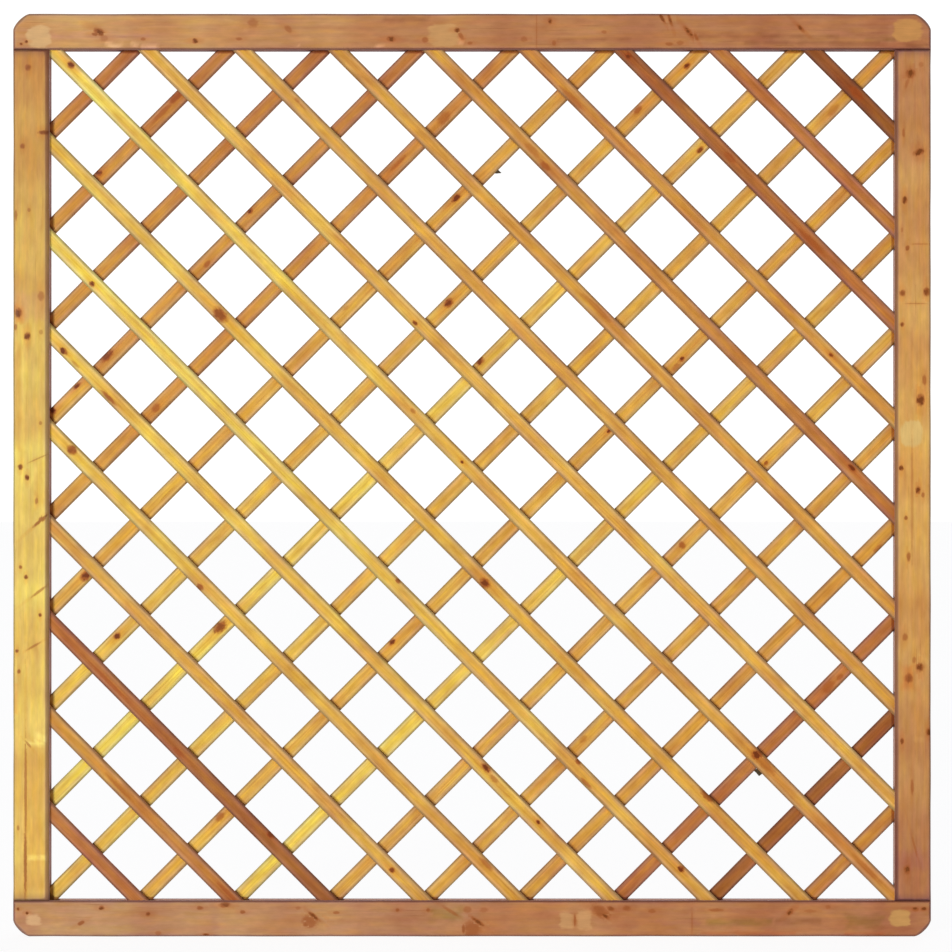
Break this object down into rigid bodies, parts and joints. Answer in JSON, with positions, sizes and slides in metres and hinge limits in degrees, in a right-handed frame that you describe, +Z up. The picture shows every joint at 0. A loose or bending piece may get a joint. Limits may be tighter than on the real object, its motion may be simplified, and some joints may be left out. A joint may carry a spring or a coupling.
{
  "type": "diagonal trellis panel",
  "caption": "Square timber trellis panel: a framed lattice of slats laid diagonally in two layers, with rounded outer corners.",
  "frame": {"origin": "centre of the left stile's outer face, at half the panel's height and half its thickness", "axes": "+X along the panel to its right, +Y from the front to the back, +Z up"},
  "size_m": [1.79, 0.045, 1.8],
  "materials": {
    "straw_pine": "pressure-treated softwood, planed, straw yellow, satin with visible grain and knots",
    "honey_pine": "pressure-treated softwood, planed, honey yellow, satin with visible grain and knots",
    "amber_pine": "pressure-treated softwood, planed, amber brown, satin with visible grain and knots",
    "russet_pine": "pressure-treated softwood, planed, russet, satin with visible grain and knots",
    "umber_pine": "pressure-treated softwood, planed, umber brown, satin with visible grain and knots",
    "galvanised_steel": "zinc-plated wire, dull"
  },
  "bodies": {
    "root": {"top_rail": "amber_pine", "bottom_rail": "amber_pine", "left_stile": "honey_pine", "right_stile": "amber_pine", "falling_slat_01": "russet_pine", "falling_slat_02": "amber_pine", "falling_slat_03": "umber_pine", "falling_slat_04": "honey_pine", "falling_slat_05": "honey_pine", "falling_slat_06": "honey_pine", "falling_slat_07": "honey_pine", "falling_slat_08": "honey_pine", "falling_slat_09": "straw_pine", "falling_slat_10": "honey_pine", "falling_slat_11": "honey_pine", "falling_slat_12": "honey_pine", "falling_slat_13": "amber_pine", "falling_slat_14": "amber_pine", "falling_slat_15": "umber_pine", "falling_slat_16": "russet_pine", "falling_slat_17": "umber_pine", "rising_slat_01": "russet_pine", "rising_slat_02": "russet_pine", "rising_slat_03": "russet_pine", "rising_slat_04": "russet_pine", "rising_slat_05": "amber_pine", "rising_slat_06": "amber_pine", "rising_slat_07": "honey_pine", "rising_slat_08": "honey_pine", "rising_slat_09": "straw_pine", "rising_slat_10": "straw_pine", "rising_slat_11": "straw_pine", "rising_slat_12": "honey_pine", "rising_slat_13": "amber_pine", "rising_slat_14": "amber_pine", "rising_slat_15": "russet_pine", "rising_slat_16": "umber_pine", "rising_slat_17": "amber_pine"}
  },
  "joints": []
}
